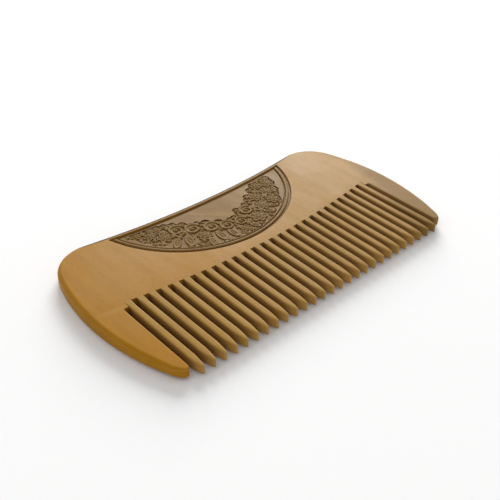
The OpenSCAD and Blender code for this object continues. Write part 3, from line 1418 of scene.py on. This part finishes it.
@dataclass
class Garland:
    """Carved flowers, scrolls and leaves on a sunken ground."""

    panel: Panel
    ground: float = 0.18
    height: float = 0.52
    fillers: int = 1500
    below: float = 2.34
    above: float = 1.32
    moat: float = 0.16
    tail: float = 28.7
    seed: int = 7

    def cup(self, name: str, sides: int, shape: Callable[[float], float]) -> bpy.types.Object:
        """Model a petal-like cup of unit reach: a raised lip round a hollow.

        Args:
            name: Name of the mesh.
            sides: Number of sides.
            shape: Reach of the outline as a function of the direction.

        Returns:
            The cup, from height 0 to height 1.
        """
        Bench.clear()
        bpy.ops.mesh.primitive_cylinder_add(
            vertices=sides, radius=1, depth=0.7, end_fill_type="NGON", location=(0, 0, 0.35)
        )
        piece = Bench.take(name)
        bpy.ops.object.transform_apply(location=True, rotation=True, scale=True)
        Bench.select_faces(piece, lambda centre, normal: normal.z > 0.9)
        pivot = (0, 0, 0.7)
        for grow, lift in ((0.86, 0.3), (0.8, -0.12), (0.72, -0.42), (0.3, 0.12)):
            bpy.ops.mesh.extrude_region_move(TRANSFORM_OT_translate={"value": (0, 0, lift)})
            bpy.ops.transform.resize(value=(grow, grow, 1), center_override=pivot)
        bpy.ops.object.mode_set(mode="OBJECT")
        places = Bench.points(piece)
        for row in places:
            reach = shape(math.atan2(row[1], row[0]))
            row[0] *= reach
            row[1] *= reach
        Bench.place(piece, places)
        return piece

    def bead(self, name: str) -> bpy.types.Object:
        """Model a low round bead of unit reach.

        Args:
            name: The name for the bead.

        Returns:
            The bead.
        """
        Bench.clear()
        bpy.ops.mesh.primitive_uv_sphere_add(segments=10, ring_count=6, radius=1)
        piece = Bench.take(name)
        return piece

    def shift(
        self,
        piece: bpy.types.Object,
        at: tuple[float, float, float],
        scale: tuple[float, float, float],
        turn: float,
    ) -> bpy.types.Object:
        """Place a copy of a part by turning, scaling and moving its mesh.

        Args:
            piece: The part to copy.
            at: Where it goes.
            scale: Its size along its own axes.
            turn: Its turn about Z, in degrees.

        Returns:
            The copy.
        """
        twin = Bench.copy(piece, piece.name)
        spin = Matrix.Rotation(math.radians(turn), 4, "Z")
        grow = Matrix.Diagonal((*scale, 1))
        twin.data.transform(Matrix.Translation(at) @ spin @ grow)
        return twin

    def blossom(self) -> bpy.types.Object:
        """Model a double flower of unit radius: six outer petals, five inner ones and an eye.

        Returns:
            The flower.
        """
        petal = self.cup("petal", 10, lambda angle: 1.0)
        bead = self.bead("eye")
        parts = []
        for index in range(6):
            turn = index * 60
            away = (0.64 * math.cos(math.radians(turn)), 0.64 * math.sin(math.radians(turn)), 0)
            parts.append(self.shift(petal, away, (0.36, 0.33, 0.8), turn))
        for index in range(5):
            turn = index * 72 + 20
            away = (0.3 * math.cos(math.radians(turn)), 0.3 * math.sin(math.radians(turn)), 0.1)
            parts.append(self.shift(petal, away, (0.22, 0.2, 0.85), turn))
        parts.append(self.shift(bead, (0, 0, 0.75), (0.15, 0.15, 0.3), 0))
        Bench.discard(petal)
        Bench.discard(bead)
        return Bench.join("blossom", parts)

    def scroll(self) -> bpy.types.Object:
        """Model a curled petal of unit radius: a ridge that winds in to a bead.

        Returns:
            The curled petal.
        """
        bead = self.bead("knob")
        parts = []
        steps = 44
        for index in range(steps):
            share = index / (steps - 1)
            angle = math.radians(-70 + 500 * share)
            reach = 0.84 * (1 - share) ** 0.75 + 0.16
            size = 0.19 * (1 - 0.45 * share)
            away = (reach * math.cos(angle), reach * math.sin(angle), 0.45)
            parts.append(self.shift(bead, away, (size, size, 0.45), 0))
        parts.append(self.shift(bead, (0, 0, 0.4), (0.2, 0.2, 0.6), 0))
        disc = self.cup("scroll_floor", 20, lambda angle: 1.0)
        parts.append(self.shift(disc, (0, 0, 0), (0.8, 0.8, 0.35), 0))
        Bench.discard(bead)
        Bench.discard(disc)
        return Bench.join("scroll", parts)

    def leaf(self) -> bpy.types.Object:
        """Model a pointed leaf of unit length along X with a midrib and side veins.

        Returns:
            The leaf.
        """
        blade = self.cup("blade", 16, lambda angle: 0.62 + 0.38 * math.cos(angle) ** 4)
        bead = self.bead("vein")
        parts = [self.shift(blade, (0, 0, 0), (1, 0.72, 0.75), 0)]
        parts.append(self.shift(bead, (0, 0, 0.4), (0.85, 0.07, 0.35), 0))
        for along in (-0.35, 0.0, 0.35):
            for side in (-1, 1):
                at = (along + 0.12, side * 0.2, 0.35)
                parts.append(self.shift(bead, at, (0.26, 0.05, 0.3), side * 48))
        Bench.discard(blade)
        Bench.discard(bead)
        return Bench.join("leaf", parts)

    def berry(self) -> bpy.types.Object:
        """Model a cluster of four round berries of unit radius.

        Returns:
            The cluster.
        """
        bead = self.bead("berry_bead")
        parts = [self.shift(bead, (0, 0, 0.5), (0.45, 0.45, 0.5), 0)]
        for index in range(4):
            angle = math.radians(90 * index + 30)
            at = (0.55 * math.cos(angle), 0.55 * math.sin(angle), 0.35)
            parts.append(self.shift(bead, at, (0.42, 0.42, 0.5), 0))
        Bench.discard(bead)
        return Bench.join("berry", parts)

    def layout(self) -> list[Carving]:
        """Lay out the garland: the chosen elements and seeded fillers between them.

        Returns:
            All elements.
        """
        draw = random.Random(self.seed)
        upper, lower = np.array(UPPER_BOUND).T, np.array(LOWER_BOUND).T
        laid = list(GARLAND)
        for _ in range(self.fillers):
            x = draw.uniform(upper[0][0], lower[0][-1])
            y = draw.uniform(float(np.interp(x, *lower)), float(np.interp(x, *upper)))
            motif = draw.choice((Motif.BERRY, Motif.BERRY, Motif.BLOSSOM, Motif.LEAF))
            radius = draw.uniform(0.8, 1.3)
            turn = draw.uniform(0, 360)
            clear = all(
                math.hypot(x - other.x, y - other.y) > 0.82 * other.radius + 0.5 * radius
                for other in laid
            )
            if clear:
                laid.append(Carving(motif, x, y, radius, turn))
        return laid

    def ground_cutter(self, items: Sequence[Carving], field_top: float) -> bpy.types.Object:
        """Return the tool that sinks the ground under and round the carvings.

        Args:
            items: The elements of the garland.
            field_top: Height of the field above the recess's floor.

        Returns:
            The cutting tool, a prism whose outline follows the outermost carvings.
        """
        reach = [item.radius * 1.02 + self.moat for item in items]
        start = max(min(item.x - r for item, r in zip(items, reach)), -self.tail) + 0.02
        end = max(item.x + r for item, r in zip(items, reach)) - 0.02
        upper, lower = [], []
        for x in np.linspace(start, end, 181):
            spans = [
                (item.y, math.sqrt(r**2 - (x - item.x) ** 2))
                for item, r in zip(items, reach)
                if abs(x - item.x) < r
            ]
            if spans:
                upper.append((x, max(y + half for y, half in spans)))
                lower.append((x, min(y - half for y, half in spans)))
        outline = np.array([(x, y, 0) for x, y in lower + upper[::-1]])
        outline = self.panel.drawn_in(outline, self.below, self.above)
        low = self.panel.floor + self.ground
        high = self.panel.floor + field_top + 1
        rings = [[(x, y, z) for x, y, _ in outline] for z in (low, high)]
        return Bench.loft("ground_cutter", rings)

    def build(self, items: Sequence[Carving]) -> list[bpy.types.Object]:
        """Carve the garland in three stretches.

        Args:
            items: The elements of the garland.

        Returns:
            The three finished stretches, from left to right.
        """
        masters = {
            Motif.BLOSSOM: self.blossom(),
            Motif.SCROLL: self.scroll(),
            Motif.LEAF: self.leaf(),
            Motif.BERRY: self.berry(),
        }
        base = self.panel.floor + self.ground - 0.06
        stretches = []
        for name, low, high in (("left", -99, -7.5), ("middle", -7.5, 11.5), ("right", 11.5, 99)):
            parts = []
            for item in items:
                if low <= item.x < high:
                    size = (item.radius, item.radius, self.height)
                    at = (item.x, item.y, base)
                    parts.append(self.shift(masters[item.motif], at, size, item.turn))
            piece = Bench.join(f"garland_{name}", parts)
            Bench.place(piece, self.panel.drawn_in(Bench.points(piece), self.below, self.above))
            Bench.fuse(piece, 0.08, 1)
            stretches.append(Bench.finish(piece, math.radians(80)))
        for master in masters.values():
            Bench.discard(master)
        return stretches


@dataclass
class Inlay:
    """Carved D-shaped plate in the recess: groove, bead, thin groove and field."""

    panel: Panel
    garland: Garland
    groove_floor: float = 0.3
    thin_floor: float = 0.24
    bead_top: float = 0.78
    field_top: float = 0.58

    def rings(self) -> list[Ring]:
        """Return the plate's level rings from its underside to the field.

        Returns:
            The rings, in order.
        """
        low, deep = self.groove_floor, self.thin_floor
        profile = [(0.1, 0.0, 0.1, 0.0), (0.1, 0.2, 0.1, 0.2), (0.2, low, 0.16, deep)]
        profile.append((0.8, low, 0.4, deep))
        bead_from, bead_to = 0.82, 1.7
        for step in range(9):
            angle = math.pi * step / 8
            inset = (bead_from + bead_to) / 2 - (bead_to - bead_from) / 2 * math.cos(angle)
            lift = (self.bead_top - 0.4) * math.sin(angle) ** 0.8
            profile.append((inset, 0.4 + lift, 0.45 + 0.06 * step, deep))
        profile += [(1.75, deep, 0.97, deep), (2.02, deep, 1.0, deep), (2.08, 0.42, 1.06, 0.42)]
        profile += [(2.15, 0.52, 1.12, 0.52), (2.26, self.field_top, 1.22, self.field_top)]
        profile.append((2.34, self.field_top, 1.3, self.field_top))
        floor = self.panel.floor
        return [
            self.panel.ring(below, floor + lift, above, floor + rise)
            for below, lift, above, rise in profile
        ]

    def build(self, items: Sequence[Carving]) -> bpy.types.Object:
        """Model the inlay plate with its sunken ground.

        Args:
            items: The elements of the garland that the ground is sunk for.

        Returns:
            The finished plate.
        """
        piece = Bench.loft("inlay_plate_wood", self.rings())
        tool = self.garland.ground_cutter(items, self.field_top)
        Bench.combine(piece, tool, "DIFFERENCE")
        Bench.weld(piece, 0.001)
        return Bench.finish(piece)


# ---------------------------------------------------------------- studio


@dataclass(frozen=True)
class Studio:
    """Pale floor, soft lights and the camera."""

    azimuth: float = -43.95
    elevation: float = 35.5
    roll: float = 1.705
    distance: float = 0.2163
    lens: float = 54.86
    target: tuple[float, float, float] = (-0.00198, 0.00141, 0.0)

    def floor(self) -> None:
        """Lay a broad pale floor whose outer edge drops slightly out of sight."""
        Bench.clear()
        bpy.ops.mesh.primitive_grid_add(x_subdivisions=8, y_subdivisions=8, size=8)
        ground = Bench.take("studio_floor")
        Bench.select_faces(ground, lambda centre, normal: max(abs(centre.x), abs(centre.y)) > 3)
        bpy.ops.transform.translate(value=(0, 0, -0.02))
        bpy.ops.object.mode_set(mode="OBJECT")
        graph = Graph("studio_paper")
        place = graph.add("TexCoord").outputs["Object"]
        fibre = graph.noise(place, (1.5, 1.5, 1.5), 2.0)
        tint = graph.mix(fibre, (0.95, 0.95, 0.955, 1), (0.97, 0.97, 0.975, 1))
        graph.tree.links.new(tint, graph.shader.inputs["Base Color"])
        graph.shader.inputs["Roughness"].default_value = 0.9
        graph.shader.inputs["Specular IOR Level"].default_value = 0.1
        ground.data.materials.append(graph.material)

    def world(self, strength: float) -> None:
        """Surround the scene with even white light.

        Args:
            strength: Strength of the light.
        """
        world = bpy.data.worlds.new("white_room")
        bpy.context.scene.world = world
        world.use_nodes = True
        backdrop = world.node_tree.nodes["Background"]
        backdrop.inputs["Color"].default_value = (1, 1, 1, 1)
        backdrop.inputs["Strength"].default_value = strength

    def lamp(
        self, name: str, at: Sequence[float], size: float, watts: float, tint: Sequence[float]
    ) -> None:
        """Hang a square soft light that faces the comb.

        Args:
            name: Name of the light.
            at: Its place in metres.
            size: Length of its side in metres.
            watts: Its power.
            tint: Its colour.
        """
        light = bpy.data.lights.new(name, "AREA")
        light.shape = "SQUARE"
        light.size = size
        light.energy = watts
        light.color = tint
        holder = bpy.data.objects.new(name, light)
        bpy.context.scene.collection.objects.link(holder)
        holder.location = at
        holder.rotation_euler = (-Vector(at)).to_track_quat("-Z", "Y").to_euler()

    def camera(self) -> None:
        """Set the camera at its viewing angle."""
        around, above, tilt = (math.radians(v) for v in (self.azimuth, self.elevation, self.roll))
        flat = math.cos(above)
        back = Vector((math.sin(around) * flat, -math.cos(around) * flat, math.sin(above)))
        right = Vector((math.cos(around), math.sin(around), 0))
        up = back.cross(right)
        side = math.cos(tilt) * right + math.sin(tilt) * up
        top = -math.sin(tilt) * right + math.cos(tilt) * up
        lens = bpy.data.cameras.new("camera")
        lens.lens = self.lens
        lens.sensor_width = 36
        lens.clip_start = 0.01
        holder = bpy.data.objects.new("camera", lens)
        bpy.context.scene.collection.objects.link(holder)
        frame_axes = Matrix((side, top, back)).transposed().to_4x4()
        place = Vector(self.target) + self.distance * back
        holder.matrix_world = Matrix.Translation(place) @ frame_axes
        bpy.context.scene.camera = holder

    def build(self) -> None:
        """Set up floor, light and camera."""
        self.floor()
        self.world(0.49)
        self.lamp("window", (1.2, 1.24, 0.7), 1.05, 44.0, (1.0, 0.995, 0.98))
        self.lamp("fill", (-1.0, -0.2, 1.3), 1.2, 4.2, (1.0, 0.99, 0.98))
        self.camera()
        bpy.context.scene.view_settings.view_transform = "Standard"


def main() -> None:
    """Build the comb piece by piece, dress it and light it."""
    logging.basicConfig(level=logging.INFO, format="%(name)s: %(message)s")
    plan = Plan.from_frame()
    panel = Panel(plan)
    back_edge_darkened = {"back_edge_dark": 1.0, "back_edge_dark_centre": plan.hollow_y, "back_edge_dark_radius": plan.hollow_radius}
    plate_wood = replace(PLATE_WOOD, **back_edge_darkened).material()
    dress(BackPlate(plan, panel).build(), plate_wood, Slot.BACK, "back_plate")

    guard_wood = GUARD_WOOD.material()
    for side in Side:
        guard = Guard(plan).build(side)
        dress(guard, guard_wood, Slot.GUARD, f"end_guard_{side.name.lower()}")

    tooth_wood = TOOTH_WOOD.material()
    for index, tooth in enumerate(Teeth(plan).build(), start=1):
        dress(tooth, tooth_wood, Slot.TOOTH, f"tooth_{index:02d}")

    garland = Garland(panel)
    items = garland.layout()
    LOG.info("garland: %d carvings", len(items))
    inlay = Inlay(panel, garland).build(items)
    dress(inlay, PANEL_WOOD.material(), Slot.INLAY, "panel_inlay")
    relief_wood = RELIEF_WOOD.material()
    for stretch in garland.build(items):
        dress(stretch, relief_wood, Slot.INLAY, "panel_inlay")

    Studio().build()


if __name__ == "__main__":
    main()
